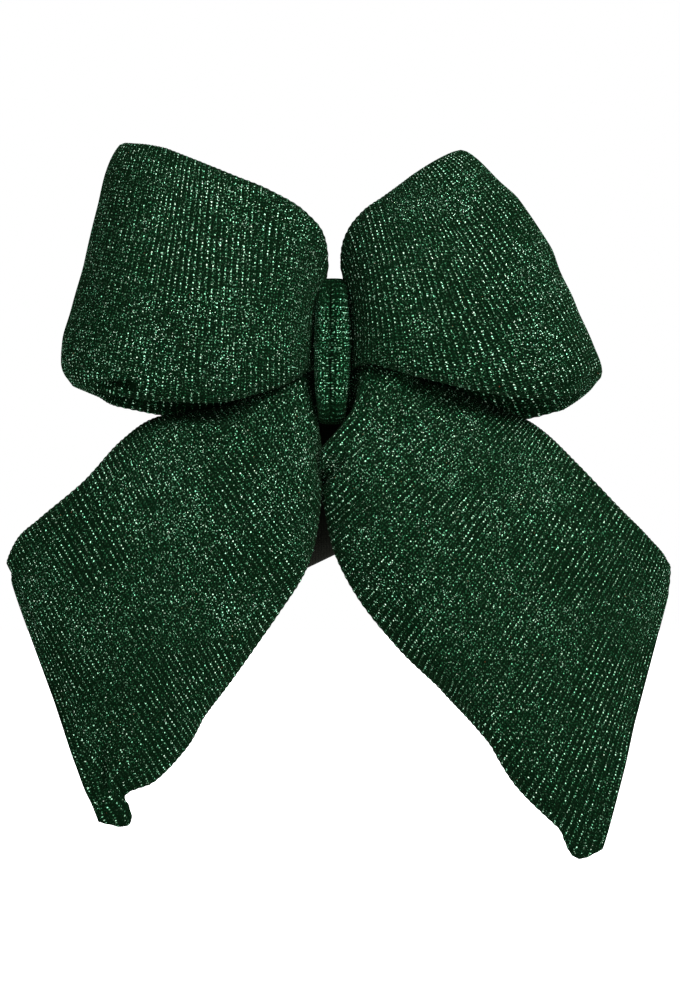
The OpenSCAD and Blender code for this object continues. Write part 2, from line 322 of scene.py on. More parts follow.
def inflated(points, held_rings, both_ends):
    """How far each point of a stuffed skin moves when it is blown up as cloth."""
    rings, sides, _ = points.shape
    corners = with_ends(points)
    faces = turned_out(corners, closed_faces(rings, sides))
    skin = mesh_piece("puff", corners, faces)
    held = skin.vertex_groups.new(name="held")
    near = list(range(held_rings * sides)) + [rings * sides]
    if both_ends:
        near += list(range((rings - held_rings) * sides, rings * sides)) + [rings * sides + 1]
    held.add(near, 1.0, "REPLACE")
    cloth = skin.modifiers.new("cloth", "CLOTH")
    cloth.settings.quality = 5
    cloth.settings.mass = 0.15
    cloth.settings.tension_stiffness = 12
    cloth.settings.compression_stiffness = 12
    cloth.settings.shear_stiffness = 6
    cloth.settings.bending_stiffness = 0.4
    cloth.settings.use_pressure = True
    cloth.settings.uniform_pressure_force = PRESSURE
    cloth.settings.effector_weights.gravity = 0
    cloth.settings.vertex_group_mass = "held"
    cloth.point_cache.frame_start = 1
    cloth.point_cache.frame_end = PUFF_FRAMES
    for step in range(1, PUFF_FRAMES + 1):
        bpy.context.scene.frame_set(step)
    settled = skin.evaluated_get(bpy.context.evaluated_depsgraph_get()).to_mesh()
    moved = np.empty(len(corners) * 3, np.float32)
    settled.vertices.foreach_get("co", moved)
    bpy.context.scene.frame_set(1)
    bpy.data.objects.remove(skin)
    shift = (moved.reshape(-1, 3) / MM - corners)[: rings * sides].reshape(rings, sides, 3)
    far = np.linalg.norm(shift, axis=-1, keepdims=True)
    shift = shift * np.minimum(1, PUFF_CAP / np.maximum(far, 1e-6))
    swell = blurred(shift, SWELL_BLUR)
    return (shift - swell) * PUCKER + swell * SWELL


def pressed(points, dents):
    """Points pushed in along their own normals. Each dent is (path, width, depth, faces)
    with its path in the front plane, and faces -1 for the front, 1 for the back or 0 for both."""
    normals = grid_normals(points)
    for path, width, depth, faces in dents:
        path = np.array(path, float)
        starts, ends = (path[:-1], path[1:]) if len(path) > 1 else (path, path + [1e-3, 0])
        flat = points[..., [0, 2]]
        near = np.full(points.shape[:2], 1e9)
        for a, b in zip(starts, ends):
            t = np.clip(((flat - a) @ (b - a)) / max((b - a) @ (b - a), 1e-9), 0, 1)
            near = np.minimum(near, np.linalg.norm(flat - (a + t[..., None] * (b - a)), axis=-1))
        facing = 1.0 if faces == 0 else np.clip(faces * normals[..., 1] * 2 + 0.6, 0, 1)
        points = points - normals * (depth * facing * np.exp(-((near / width) ** 2)))[..., None]
    return points


def skin_spacing(points):
    """How far apart the rings are at each point."""
    return np.linalg.norm(np.gradient(points, axis=0), axis=-1)


def lumpy(points, size, height):
    """Soft lumps, as loose fibre has, from a few crossed waves."""
    x, y, z = (points[..., k] / size for k in range(3))
    waves = np.sin(x * 2.1 + 1.3 * np.sin(z * 1.7)) * np.sin(z * 2.3 + 1.1 * np.sin(y * 1.9 + x))
    small = np.sin(x * 5.3 + z * 3.1 + 2.0) * np.sin(z * 5.9 - y * 4.3)
    return height * (0.7 * waves + 0.3 * small)


class Stuffed:
    """A pad after it is blown up as cloth and its hollows are pressed in."""

    COARSE = (64, 44)   # rings and sides of the cloth that is blown up

    def __init__(self, pad, held_rings, both_ends, dents):
        self.pad, self.dents = pad, dents
        self.spots = pad.spots(RIB / RINGS_PER_RIB)
        rings, sides = self.COARSE
        self.shift = np.zeros((rings, sides, 3))
        coarse, _ = pad.surface(np.linspace(self.spots[0], self.spots[-1], rings), sides)
        self.shift = inflated(coarse, held_rings, both_ends)

    def skin(self, spots, sides):
        """Points of the shaped cloth at these places, and the length round each ring."""
        points, rounds = self.pad.surface(spots, sides)
        rings, coarse_sides = self.COARSE
        fine = stretched(self.shift, 6 * rings).reshape(6 * rings, -1)
        share = (spots - self.spots[0]) / (self.spots[-1] - self.spots[0])
        at = np.column_stack([np.interp(share, np.linspace(0, 1, 6 * rings), c) for c in fine.T])
        shift = stretched(at.reshape(len(spots), coarse_sides, 3).swapaxes(0, 1), sides, True)
        return pressed(points + shift.swapaxes(0, 1), self.dents), rounds

    def inside(self, points, depth):
        """The same points moved in by this depth, or less where the pad is thin."""
        room = 0.4 * np.linalg.norm(points - points.mean(axis=1, keepdims=True), axis=-1)
        return points - grid_normals(points) * np.minimum(depth, room)[..., None]


def knit_cover(name, stuffed, sides, lot):
    """A knitted cover round a stuffed part: ribs across its length and a wall with an inside."""
    points, rounds = stuffed.skin(stuffed.spots, sides)
    rings = len(points)
    rib = np.arange(rings) / RINGS_PER_RIB
    crest = 0.5 + 0.5 * np.cos(2 * math.pi * rib)
    room = np.clip(skin_spacing(points) * RINGS_PER_RIB / RIB, 0, 1)
    outer = points + grid_normals(points) * (RIB_HEIGHT * (crest[:, None] - 0.5) * room)[..., None]
    inner = stuffed.inside(points, WALL)[2:-2:RINGS_PER_RIB, ::2]

    turn = np.arange(sides) / sides
    stitches = (turn[None, :] - 0.5) * rounds[:, None] / STITCH
    outside = with_ends(outer)
    faces = turned_out(outside, closed_faces(rings, sides))
    knit_map = tube_map(faces, sides, rib + lot, stitches, rounds / STITCH)
    return walled_piece(name, outside, faces, knit_map, inner, lot)


def walled_piece(name, outside, faces, knit_map, inner, lot):
    """A closed skin with the inside of its wall."""
    inside = with_ends(inner)
    lining = turned_out(inside, closed_faces(*inner.shape[:2]), outwards=False)
    lining_map = np.zeros((sum(len(face) for face in lining), 2)) + lot
    lining = [tuple(i + len(outside) for i in face) for face in lining]
    return mesh_piece(name, np.vstack([outside, inside]), faces + lining, np.vstack([knit_map, lining_map]))


def fibre_filling(name, stuffed, first, last):
    """The fibre inside a stuffed part, a little smaller than its cover and lumpy."""
    spots = stuffed.spots[::3]
    spots = spots[(spots > first) & (spots < last)]
    points, _ = stuffed.skin(spots, FIBRE_SIDES)
    points = stuffed.inside(points, FIBRE_DEPTH)
    lumps = FIBRE_LUMP + lumpy(points, FIBRE_LUMP_SIZE, FIBRE_LUMP)
    points = points - grid_normals(points) * lumps[..., None]
    corners = with_ends(points)
    return mesh_piece(name, corners, turned_out(corners, closed_faces(*points.shape[:2])))


# ---------------------------------------------------------------- the bow's outlines


# [top x, top z, bottom x, bottom z, front depth, half thickness, bow, back depth, drop]
LEFT_LOOP = [
    [-2, 24, -2, -5, 33, 4, 0, 13, 0],
    [-4, 26, -7, -7, 34, 5.5, 1.5, 13, 0],
    [-2, 35, -8.5, -8, 36, 7, 3, 13.5, 0],
    [-2.3, 43, -10, -9, 37.5, 9, 3.5, 14, 0],
    [-4.2, 49.5, -13, -11, 40, 11, 3.5, 15, 0],
    [-10.5, 56.8, -18, -14, 43, 12.5, 2, 16, 0],
    [-26, 66.3, -31, -18.5, 45.5, 13, 1, 16, 1],
    [-41.5, 72.6, -46, -22.5, 46, 13, 0, 16, 5],
    [-57, 78.9, -68, -22.2, 46, 13, 0, 16, 6],
    [-70, 83.9, -92.7, -20.4, 46, 13, -1.8, 16, 3.2],
]
RIGHT_LOOP = [
    [2, 24, 2, -5, 33, 4, 0, 13, 0],
    [5, 27, 6.5, -6.5, 34, 5.5, 1.5, 13, 0],
    [3.2, 36, 8, -7.5, 36, 7, 3, 13.5, 0],
    [3.6, 43.5, 11, -7, 38, 9.5, 3.5, 14, 0],
    [6.6, 51, 15, -6.5, 41, 11.5, 3, 15, 0],
    [11.5, 57, 22, -7.5, 43.5, 12.5, 2, 16, 0],
    [21, 64, 40, -12.5, 45.5, 13, 1, 16, 3],
    [28.4, 69.3, 60, -17.5, 46, 13, 0.5, 16, 9],
    [33.4, 73, 80, -20.6, 46, 13, 0.5, 16, 8.7],
    [37.3, 75.5, 98.3, -21, 46, 13, -0.6, 16, 4],
]
# [outer x, outer z, inner x, inner z, depth, half thickness, bow]
LEFT_TAIL = [
    [-2, -9, -2, -24, 23, 4, 0],
    [-8.5, -10, -6.5, -27, 26, 6.5, 0],
    [-12, -8, -5.3, -38, 29, 10, 0],
    [-20, -11, -5.5, -50, 31, 13, 0],
    [-33, -17, -5.3, -66, 31, 14, 0],
    [-47, -22.5, -8, -84, 30, 14.5, 0],
    [-62, -25.5, -12.5, -96, 30, 14.5, 0],
    [-75, -28, -23.2, -112, 30, 14.5, 0],
    [-90.2, -38, -39, -136, 30, 14.5, 0],
    [-106.8, -55, -52, -155, 30, 14.5, 0],
    [-125, -71, -62.2, -171, 30, 13, 0.5],
    [-134.3, -80, -74.8, -184.3, 30, 10, 0.5],
    [-138, -88.5, -86, -191.5, 30, 5.5, 0.5],
    [-137.3, -93.5, -89.5, -204, 30, 3, 0.5],
    [-137, -98, -100.5, -200.5, 30, 1.5, 0.5],
]
RIGHT_TAIL = [
    [2, -9, 2, -24, 23, 4, 0],
    [8.5, -8, 8, -29, 27, 7.5, 0],
    [14, -4.5, 6.5, -36, 31, 12, 0],
    [24, -5, -4.5, -42.5, 32, 14, 0],
    [38, -11, -5, -56, 31, 14.5, 0],
    [52, -17, -3, -70, 30, 14.5, 0],
    [66, -23, -0.3, -84.5, 30, 14.5, 0],
    [79.4, -27.8, 8.4, -103, 30, 14.5, 0],
    [90.3, -34.7, 25.7, -126.4, 30, 14.5, 0],
    [104.3, -48.2, 44.9, -146.6, 30, 14.5, 0],
    [121.3, -65.7, 58.8, -161.5, 30, 14.5, 0],
    [134.3, -79.2, 77.6, -187.2, 30, 12, 0.5],
    [141.8, -88.8, 94.8, -204.5, 30, 8, 0.5],
    [143.2, -96, 107, -216.5, 30, 4, 0.5],
    [142.2, -106, 115.5, -212, 30, 1.5, 0.5],
]

left_loop = loop_pad(LEFT_LOOP, -1, FOLD_RADIUS)
right_loop = loop_pad(RIGHT_LOOP, 1, FOLD_RADIUS)
left_tail = tail_pad(LEFT_TAIL)
right_tail = tail_pad(RIGHT_TAIL)

# (path in the front plane, width, depth, -1 for the front, 1 for the back or 0 for both)
LEFT_LOOP_DENTS = [
    ([(-98, -18), (-92, -18.5), (-86, -17.5)], 3.0, 9.0, -1),
    ([(-114, -17), (-104, -24)], 6.0, 3.0, 0),
    ([(-104, 60), (-108, 38)], 14.0, 1.6, 0),
    ([(-115, 4), (-116, -6)], 9.0, -1.9, 0),
]
RIGHT_LOOP_DENTS = [
    ([(97, -17), (103, -15), (110, -13)], 2.6, 3.4, -1),
    ([(80, 64), (92, 44)], 9.0, -2.8, 0),
    ([(106, 14), (110, 2)], 8.0, 1.2, 0),
]
LEFT_TAIL_DENTS = [
    ([(-112, -172), (-106, -188)], 9.0, -1.2, 0),
]
RIGHT_TAIL_DENTS = [
    ([(9, -36), (14, -37.5), (20, -36), (26, -31), (29, -18)], 3.2, 1.8, -1),
    ([(138, -126), (130, -158)], 11.0, 2.0, 0),
]

PADS = {
    "left_loop": (left_loop, 104, 3, True, LEFT_LOOP_DENTS, (-1, 0, 0)),
    "right_loop": (right_loop, 104, 3, True, RIGHT_LOOP_DENTS, (1, 0, 0)),
    "left_tail": (left_tail, 110, 4, False, LEFT_TAIL_DENTS, (-0.655, 0, -0.755)),
    "right_tail": (right_tail, 110, 4, False, RIGHT_TAIL_DENTS, (0.66, 0, -0.751)),
}


# ---------------------------------------------------------------- finishes


class Value:
    """One number of a material, so that a sum can be written the way it reads."""

    def __init__(self, finish, socket):
        self.finish, self.socket = finish, socket

    def sum(self, operation, first, second):
        return self.finish.node("ShaderNodeMath", {"operation": operation}, {0: first, 1: second})

    def __add__(self, other):
        return self.sum("ADD", self, other)

    def __rsub__(self, other):
        return self.sum("SUBTRACT", other, self)

    def __mul__(self, other):
        return self.sum("MULTIPLY", self, other)

    def __pow__(self, other):
        return self.sum("POWER", self, other)

    __radd__, __rmul__ = __add__, __mul__


class Finish:
    """A procedural material: nodes are added one by one and the shader's sockets are set by name."""

    def __init__(self, name):
        self.material = bpy.data.materials.new(name)
        self.material.use_nodes = True
        self.tree = self.material.node_tree
        self.shader = self.tree.nodes["Principled BSDF"]

    def set(self, sockets):
        for key, value in sockets.items():
            self.feed(self.shader.inputs[key], value)

    def feed(self, socket, value):
        if isinstance(value, Value):
            self.tree.links.new(value.socket, socket)
        else:
            socket.default_value = value

    def node(self, kind, settings=None, sockets=None, result=0):
        """A node of this kind with its settings, then the values or links of its sockets."""
        made = self.tree.nodes.new(kind)
        for key, value in (settings or {}).items():
            if key == "stops":
                ramp = made.color_ramp
                while len(ramp.elements) < len(value):
                    ramp.elements.new(0.5)
                for element, (place, colour) in zip(ramp.elements, value):
                    element.position = place
                    element.color = (*colour, 1)
            else:
                setattr(made, key, value)
        for key, value in (sockets or {}).items():
            self.feed(made.inputs[key], value)
        return Value(self, made.outputs[result])

    def noise(self, vector, scale, detail=2.0, roughness=0.5):
        sockets = {"Vector": vector, "Scale": scale, "Detail": detail, "Roughness": roughness}
        return self.node("ShaderNodeTexNoise", {}, sockets)

    def smooth(self, value, low, high, to_low=0.0, to_high=1.0):
        return self.node(
            "ShaderNodeMapRange",
            {"interpolation_type": "SMOOTHSTEP"},
            {"Value": value, "From Min": low, "From Max": high, "To Min": to_low, "To Max": to_high},
        )

    def most(self, first, second):
        return self.node("ShaderNodeMath", {"operation": "MAXIMUM"}, {0: first, 1: second})

    def wave(self, value):
        """1 at each whole number and 0 half way between."""
        return self.node("ShaderNodeMath", {"operation": "COSINE"}, {0: value * (2 * math.pi)}) * 0.5 + 0.5

    def cells(self, vector, scale, scatter):
        """Round spots scattered over the cloth: the distance from the nearest, and its draw of numbers."""
        yarn = self.node("ShaderNodeVectorMath", {"operation": "MULTIPLY"}, {0: vector, 1: scale})
        sockets = {"Vector": yarn, "Scale": 1.0, "Randomness": scatter}
        kind, flat = "ShaderNodeTexVoronoi", {"voronoi_dimensions": "2D"}
        return self.node(kind, flat, sockets, "Distance"), self.node(kind, flat, sockets, "Color")

    def place(self):
        """The point on the piece, in metres."""
        return self.node("ShaderNodeTexCoord", result="Object")


def knit_finish(name, ground, glint_brightness, fine, shade, hues):
    """Rib knit with metallic yarn: dark ribs, a glint painted into the base colour on every stitch and a few
    bright ones; the dots are partly the yarn's own lighter colour and partly painted glint. Stretched cloth
    has finer stitches. Each shade gives the heights, in metres, between which painted shade darkens the
    cloth and its ribs show, then how bright it stays in that painted shade and how clear the ribs get."""
    finish = Finish(name)
    place = finish.place()
    knit = finish.node("ShaderNodeUVMap", {"uv_map": "Knit"})
    rib = finish.node("ShaderNodeSeparateXYZ", {}, {0: knit}, "X")
    crest = finish.wave(rib)
    half_rib = finish.node("ShaderNodeVectorMath", {"operation": "ADD"}, {0: knit, 1: (0.25, 0, 0)})

    beads, bead_draw = finish.cells(half_rib, (2 * fine, fine, 1), 0.5)
    bead = finish.smooth(beads, 0.34, 0.05)
    bead_luck = finish.node("ShaderNodeSeparateColor", {}, {0: bead_draw}, "Red")
    bead_tone = finish.node("ShaderNodeSeparateColor", {}, {0: bead_draw}, "Green")
    rare = finish.node("ShaderNodeSeparateColor", {}, {0: bead_draw}, "Blue")
    glints, glint_draw = finish.cells(knit, (5.2 * fine, 2.8 * fine, 1), 1.0)
    glint = finish.smooth(glints, 0.50, 0.08)
    glint_luck = finish.node("ShaderNodeSeparateColor", {}, {0: glint_draw}, "Red")
    glint_tone = finish.node("ShaderNodeSeparateColor", {}, {0: glint_draw}, "Green")
    glint_hue = finish.node("ShaderNodeSeparateColor", {}, {0: glint_draw}, "Blue")

    # Random patches in which the glints are brighter or dimmer; each shade entry below multiplies painted
    # shade into them.
    patches_and_shade = finish.smooth(finish.noise(place, 30, 3, 0.6), 0.3, 0.7, 0.86, 1.14)
    from_knot = finish.node("ShaderNodeVectorMath", {"operation": "LENGTH"}, {0: place}, "Value")
    gathered = finish.smooth(from_knot, 0.060, 0.025)
    aside = finish.node("ShaderNodeSeparateXYZ", {}, {0: knit}, "Y")
    aside = finish.node("ShaderNodeMath", {"operation": "ABSOLUTE"}, {0: aside})
    order = finish.smooth(finish.noise(place, 24, 2, 0.6), 0.42, 0.60, 0.15, 1.0)
    order = finish.most(finish.most(order, gathered), finish.smooth(aside, 24, 38))
    height = finish.node("ShaderNodeSeparateXYZ", {}, {0: place}, "Z")
    # Painted shade: between the two heights the cloth is darkened down to the given brightness, and its ribs
    # are made clearer there.
    for shaded_height, bright, least, ribbed in shade:
        patches_and_shade = patches_and_shade * finish.smooth(height, shaded_height, bright, least, 1.0)
        order = finish.most(order, finish.smooth(height, bright, shaded_height, 0.0, ribbed))
    column = 1 - order * (1 - crest**2) * 0.88
    # The stitch beads and sparks are glints painted into the base colour: partly the metallic yarn's own
    # lighter colour, partly painted glint.
    stitches = bead * (bead_luck**4 * 0.70 + bead_tone**2 * 0.34 + order * 0.36 + 0.05) * column
    sparks = glint * (glint_luck**9 * 1.25 + glint_tone**4 * 0.24) * (column * 0.6 + 0.4)
    light = (stitches + sparks) * patches_and_shade * glint_brightness + crest * 0.03 + ground
    colour = finish.node(
        "ShaderNodeValToRGB",
        {"stops": [
            (0.0, (0.0004, 0.0016, 0.0006)),
            (0.14, (0.0011, 0.0039, 0.0017)),
            (0.30, (0.0044, 0.0150, 0.0070)),
            (0.50, (0.020, 0.055, 0.030)),
            (0.74, (0.105, 0.19, 0.128)),
            (1.0, (0.38, 0.53, 0.44)),
        ]},
        {0: light},
    )
    # Rare red dots: painted glints of light split into colour.
    red = finish.smooth(rare * bead, 0.9965, 0.998)
    mixed, multiplied = {"data_type": "RGBA"}, {"data_type": "RGBA", "blend_type": "MULTIPLY"}
    tint = finish.node("ShaderNodeMix", mixed, {0: glint_hue, 6: hues[0], 7: hues[1]}, 2)
    colour = finish.node("ShaderNodeMix", multiplied, {0: 1.0, 6: colour, 7: tint}, 2)
    cloth = finish.node("ShaderNodeMix", mixed, {0: red, 6: colour, 7: (0.30, 0.055, 0.03, 1)}, 2)
    relief = bead * 0.7 + glint * 0.4
    bump = finish.node("ShaderNodeBump", {}, {"Strength": 0.5, "Distance": 0.0004, "Height": relief})
    finish.set({
        "Base Color": cloth,
        "Metallic": sparks * 0.7 + 0.05,
        "Roughness": 0.6 - sparks * 0.3,
        "Specular IOR Level": 0.0,
        "Specular Tint": (0.2, 0.4, 0.25, 1),
        "Sheen Weight": 0.01,
        "Sheen Roughness": 0.45,
        "Sheen Tint": (0.35, 0.62, 0.32, 1),
        "Normal": bump,
    })
    return finish.material


def fibre_finish(name):
    """Matt white polyester fibre."""
    finish = Finish(name)
    place = finish.place()
    wisps = finish.noise(finish.node("ShaderNodeMapping", {}, {0: place, "Scale": (1, 1, 3)}), 420, 6, 0.7)
    colour = finish.node(
        "ShaderNodeValToRGB", {"stops": [(0.3, (0.62, 0.62, 0.58)), (0.7, (0.9, 0.9, 0.87))]}, {0: wisps}
    )
    bump = finish.node("ShaderNodeBump", {}, {"Strength": 0.7, "Distance": 0.0006, "Height": wisps})
    finish.set({"Base Color": colour, "Roughness": 0.95, "Sheen Weight": 0.3, "Normal": bump})
    return finish.material


def thread_finish(name):
    """Satin green sewing thread with a fine twist."""
    finish = Finish(name)
    place = finish.place()
    twist = finish.node(
        "ShaderNodeTexWave",
        {"bands_direction": "DIAGONAL"},
        {"Vector": place, "Scale": 900, "Distortion": 0.6, "Detail": 1.0},
        "Fac",
    )
    greens = [(0.2, (0.006, 0.02, 0.01)), (0.8, (0.022, 0.062, 0.032))]
    colour = finish.node("ShaderNodeValToRGB", {"stops": greens}, {0: twist})
    bump = finish.node("ShaderNodeBump", {}, {"Strength": 0.4, "Distance": 0.0001, "Height": twist})
    finish.set({"Base Color": colour, "Roughness": 0.5, "Specular IOR Level": 0.2, "Normal": bump})
    return finish.material


def elastic_finish(name):
    """Matt black woven elastic, its black set darker still as painted shade: fine cords along the strap,
    crossed by the weft.
    """
    finish = Finish(name)
    place = finish.place()
    across = finish.node("ShaderNodeSeparateXYZ", {}, {0: place}, "X")
    down = finish.node("ShaderNodeSeparateXYZ", {}, {0: place}, "Z")
    cords = finish.node("ShaderNodeMath", {"operation": "SINE"}, {0: across * 5200}) * 0.5 + 0.5
    weft = finish.node("ShaderNodeMath", {"operation": "SINE"}, {0: down * 7400}) * 0.5 + 0.5
    fuzz = finish.noise(place, 900, 3)
    weave = cords * 0.6 + weft * 0.4
    colour = finish.node(
        "ShaderNodeValToRGB",
        {"stops": [(0.1, (0.0018, 0.0022, 0.0014)), (0.9, (0.0060, 0.0068, 0.0046))]},
        {0: weave * 0.7 + fuzz * 0.3},
    )
    bump = finish.node("ShaderNodeBump", {}, {"Strength": 0.5, "Distance": 0.0002, "Height": weave})
    finish.set({
        "Base Color": colour,
        "Roughness": 0.85,
        "Specular IOR Level": 0.05,
        "Normal": bump,
    })
    return finish.material


# Painted shade: the pads darken towards the bottom, the wrap at its top and bottom ends.
pad_knit = knit_finish(
    "metallic_knit", 0.07, 1.05, 1.0, [(-0.20, -0.02, 0.86, 0.7)], [(0.5, 1.1, 0.85, 1), (1.2, 0.97, 1.0, 1)]
)
wrap_knit = knit_finish(
    "wrap_knit",
    0.075,
    1.3,
    1.25,
    [(0.028, 0.016, 0.45, 0.9), (-0.026, -0.014, 0.6, 1.0)],
    [(0.35, 1.1, 0.8, 1), (1.0, 1.0, 0.95, 1)],
)
fibrefill = fibre_finish("fibrefill")
green_thread = thread_finish("sewing_thread")
black_elastic = elastic_finish("black_elastic")


# ---------------------------------------------------------------- stuffed pieces


def finished(piece, material, slot, *replaced):
    """Gives a piece its material, and hides the CAD nodes that it stands in for. The slot is not used."""
    piece.data.materials.clear()
    piece.data.materials.append(material)
    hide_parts(*replaced)
    return piece


def bends(piece):
    """Applies the piece's place, turn and size to its mesh."""
    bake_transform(piece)


for lot, (part, (pad, sides, held, both_ends, dents, away)) in enumerate(PADS.items()):
    stuffed = Stuffed(pad, held, both_ends, dents)
    cover = knit_cover(part + "_cover_cloth", stuffed, sides, 1000 * (lot + 1))
    finished(cover, pad_knit, "metallic_knit", part + "_cover")
    bends(cover)
    count = len(pad.courses[0])
    last = count - (FIBRE_NECK if both_ends else FIBRE_TIP)
    stuffing = fibre_filling(part + "_fibre", stuffed, FIBRE_NECK, last)
    finished(stuffing, fibrefill, "fibrefill", part + "_filling")
    bends(stuffing)

# ---------------------------------------------------------------- knot wrap


def rounded_path(low, high, radius, step):
    """Points a step apart round a rectangle with round corners, as [depth, height], with their
    directions out and the length round it."""
    (y0, z0), (y1, z1) = low, high
    corner = np.radians(np.linspace(0, 90, 24))
    back, front, top, low_end = y1 - radius, y0 + radius, z1 - radius, z0 + radius
    centres = [(back, top), (front, top), (front, low_end), (back, low_end)]
    points = []
    for quarter, (y, z) in enumerate(centres):
        turn = corner + quarter * math.pi / 2
        points.append(np.column_stack([y + radius * np.cos(turn), z + radius * np.sin(turn)]))
    loop = np.vstack(points + [points[0][:1]])
    reach = distances(loop)
    count = int(reach[-1] / step / RINGS_PER_RIB) * RINGS_PER_RIB
    at = np.linspace(0, reach[-1], count, endpoint=False)
    path = np.column_stack([np.interp(at, reach, c) for c in loop.T])
    travel = unit(np.roll(path, -1, axis=0) - np.roll(path, 1, axis=0))
    return path, np.column_stack([travel[:, 1], -travel[:, 0]]), reach[-1]


WRAP_HALF = 1.65     # half the thickness of the folded band
WRAP_SIDES = 150     # points round the band, close enough to hold its crease
WRAP_CORNER = 12.5   # corner radius of the wrap, seen from the side
WRAP_LOT = 7000      # keeps the wrap's pattern apart from the pads'
CREASE_X = -1.2      # where the two soft folds of the wrap meet at the front
# [height, left edge, right edge] of the wrap
WRAP_EDGES = stretched(np.array([
    [-31, -5.6, 4.6],
    [-24, -6.9, 6.0],
    [-12, -7.7, 7.2],
    [0, -7.9, 7.5],
    [12, -7.4, 7.1],
    [22, -6.8, 6.6],
    [30, -5.8, 5.8],
]), 120)


def wrap_band():
    """The folded band round the waist: a flat tube of knit whose ribs run across it."""
    box_low, box_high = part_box("knot_wrap")
    low = (box_low.y / MM + WRAP_HALF, box_low.z / MM + WRAP_HALF)
    high = (box_high.y / MM - WRAP_HALF, box_high.z / MM - WRAP_HALF)
    path, out, length = rounded_path(low, high, WRAP_CORNER, RIB / RINGS_PER_RIB)
    rings = len(path)
    left = np.interp(path[:, 1], WRAP_EDGES[:, 0], WRAP_EDGES[:, 1])[:, None]
    right = np.interp(path[:, 1], WRAP_EDGES[:, 0], WRAP_EDGES[:, 2])[:, None]
    front = np.clip((out[:, :1] * -1 - 0.3) / 0.6, 0, 1)
    back = np.clip((out[:, :1] - 0.6) / 0.3, 0, 1)

    turn = np.linspace(0, 2 * math.pi, WRAP_SIDES, endpoint=False)[None, :]
    c, s = np.cos(turn), np.sin(turn)
    x = (left + right) / 2 + (right - left) / 2 * np.sign(c) * np.abs(c) ** 0.8
    puffed = WRAP_HALF * np.sign(s) * np.abs(s) ** 0.7
    crease = CREASE_X + 0.25 * np.sin(path[:, 1:] / 5)
    lobe_middle = np.where(x < crease, (left + crease) / 2, (right + crease) / 2)
    lobe_half = np.where(x < crease, (crease - left) / 2, (right - crease) / 2)
    lobe = np.clip(1 - ((x - lobe_middle) / lobe_half) ** 2, 0, 1) ** 0.5
    lobed = -WRAP_HALF - 0.9 + (2 * WRAP_HALF + 0.9) * lobe
    seam = 0.9 * np.exp(-((x / 0.7) ** 2)) * back
    outer_n = np.where(s > 0, puffed * (1 - front) + np.minimum(puffed, lobed) * front - seam, puffed)
    middle_n = (outer_n + np.roll(outer_n[:, ::-1], 1, axis=1)) / 2
    inner_n = middle_n + (outer_n - middle_n) * 0.45
    middle_x = (left + right) / 2

    def placed(across, n):
        return np.stack([across, path[:, :1] + out[:, :1] * n, path[:, 1:] + out[:, 1:] * n], axis=-1)

    rib = np.arange(rings) / RINGS_PER_RIB
    crest = 0.3 * (0.5 + 0.5 * np.cos(2 * math.pi * rib))[:, None] * np.clip(s * 2, 0, 1)
    outside = placed(x, outer_n + crest * 0.8).reshape(-1, 3)
    inside = placed(middle_x + (x - middle_x) * 0.94, inner_n).reshape(-1, 3)
    faces = ring_faces(rings, WRAP_SIDES)
    lining = [tuple(i + len(outside) for i in face) for face in turned_out(inside, faces, outwards=False)]
    faces = turned_out(outside, faces)
    corners = np.array([i for face in faces for i in face]).reshape(-1, 4)
    ring, side = corners // WRAP_SIDES, corners % WRAP_SIDES
    ring = np.where((ring == 0) & (ring.max(axis=1, keepdims=True) == rings - 1), rings, ring)
    side = np.where((side == 0) & (side.max(axis=1, keepdims=True) == WRAP_SIDES - 1), WRAP_SIDES, side)
    round_band = 2 * (right - left).mean() + 4 * WRAP_HALF
    knit_map = np.column_stack([
        (ring / RINGS_PER_RIB).ravel() + WRAP_LOT, (side / WRAP_SIDES * round_band / STITCH).ravel()
    ])
    lining_map = np.full((len(lining) * 4, 2), float(WRAP_LOT))
    band = mesh_piece(
        "knot_wrap_band", np.vstack([outside, inside]), faces + lining, np.vstack([knit_map, lining_map])
    )
    finished(band, wrap_knit, "wrap_knit", "knot_wrap")
    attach(band, "knot")


def ring_faces(rings, sides):
    """Faces of a tube that closes on itself both ways."""
    i, j = np.meshgrid(np.arange(rings), np.arange(sides), indexing="ij")
    i, j = i.ravel(), j.ravel()
    k, m = (j + 1) % sides, (i + 1) % rings
    quads = np.column_stack([i * sides + j, i * sides + k, m * sides + k, m * sides + j])
    return [tuple(q) for q in quads.tolist()]


wrap_band()


# ---------------------------------------------------------------- strap, tacks and stitches


def start_piece():
    """Leaves object mode with nothing selected, as a new primitive needs."""
    if bpy.ops.object.mode_set.poll():
        bpy.ops.object.mode_set(mode="OBJECT")
    bpy.ops.object.select_all(action="DESELECT")


def settle(piece):
    """Applies a piece's place, turn and size to its mesh."""
    bpy.ops.object.transform_apply(location=True, rotation=True, scale=True)
    return piece


